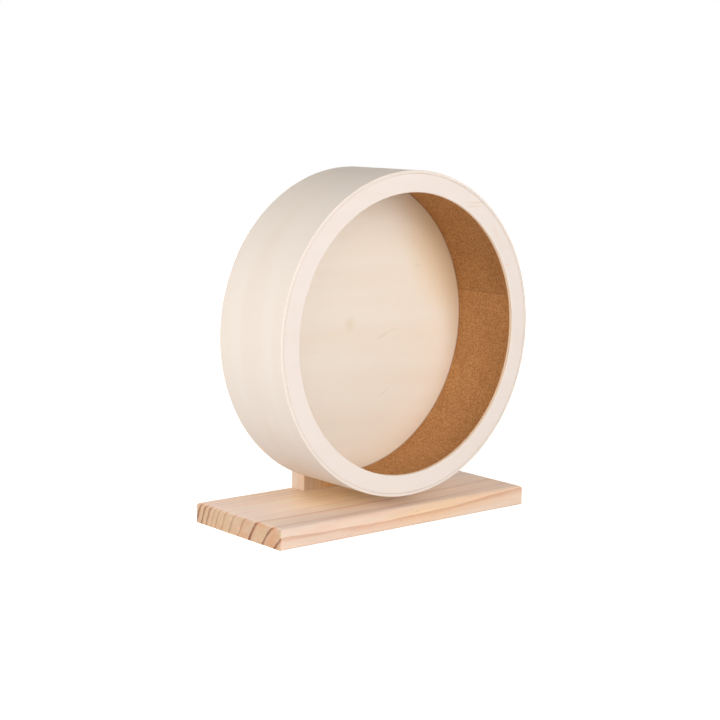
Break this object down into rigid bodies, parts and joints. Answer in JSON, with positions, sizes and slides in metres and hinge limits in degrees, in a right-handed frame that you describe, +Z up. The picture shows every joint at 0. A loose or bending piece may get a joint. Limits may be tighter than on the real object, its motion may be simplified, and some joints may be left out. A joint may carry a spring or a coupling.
{
  "type": "rodent exercise wheel",
  "caption": "Open-fronted plywood drum lined with cork that spins on ball bearings in an upright pine post, standing on a flat pine base board.",
  "frame": {"origin": "centre of the base board's flat underside", "axes": "+Z up, +X to the right seen from the open front of the drum, which faces -Y; the axle runs along Y"},
  "size_m": [0.28, 0.1321, 0.3073],
  "materials": {
    "pine_board": "planed and sanded, unfinished",
    "pine_post": "planed and sanded, unfinished",
    "bent_ply": "sanded, unfinished bent plywood",
    "panel_ply": "sanded, unfinished plywood",
    "cork": "pressed cork, fine grain",
    "beech": "turned, unfinished",
    "zinc_steel": "bright zinc plate",
    "bearing_steel": "ground steel",
    "nylon": "natural nylon"
  },
  "bodies": {
    "stand": {"base_board": "pine_board", "upright_post": "pine_post", "post_screws": "zinc_steel", "post_dowels": "beech", "front_outer_ring": "bearing_steel", "front_shields": "bearing_steel", "rear_outer_ring": "bearing_steel", "rear_shields": "bearing_steel"},
    "drum": {"running_hoop": "bent_ply", "front_ring": "panel_ply", "back_panel": "panel_ply", "cork_lining": "cork", "hub_block": "beech", "centre_plug": "panel_ply", "axle_bolt": "zinc_steel", "hub_spacer": "zinc_steel", "ring_spacer": "zinc_steel", "axle_washer": "zinc_steel", "lock_nut": "zinc_steel", "nut_insert": "nylon", "front_inner_ring": "bearing_steel", "rear_inner_ring": "bearing_steel"},
    "front_ball_set": {"front_cage": "nylon", "front_balls": "bearing_steel"},
    "rear_ball_set": {"rear_cage": "nylon", "rear_balls": "bearing_steel"}
  },
  "joints": [
    {"name": "wheel_spin", "type": "hinge", "parent": "stand", "child": "drum", "pos_m": [0, 0, 0.1673], "axis": [0, 1, 0], "continuous": true},
    {"name": "front_balls_spin", "type": "hinge", "parent": "stand", "child": "front_ball_set", "pos_m": [0, 0.0433, 0.1673], "axis": [0, 1, 0], "continuous": true},
    {"name": "rear_balls_spin", "type": "hinge", "parent": "stand", "child": "rear_ball_set", "pos_m": [0, 0.0543, 0.1673], "axis": [0, 1, 0], "continuous": true}
  ],
  "couplings": [
    {"joint": "front_balls_spin", "follows": "wheel_spin", "ratio": 0.368},
    {"joint": "rear_balls_spin", "follows": "wheel_spin", "ratio": 0.368}
  ]
}
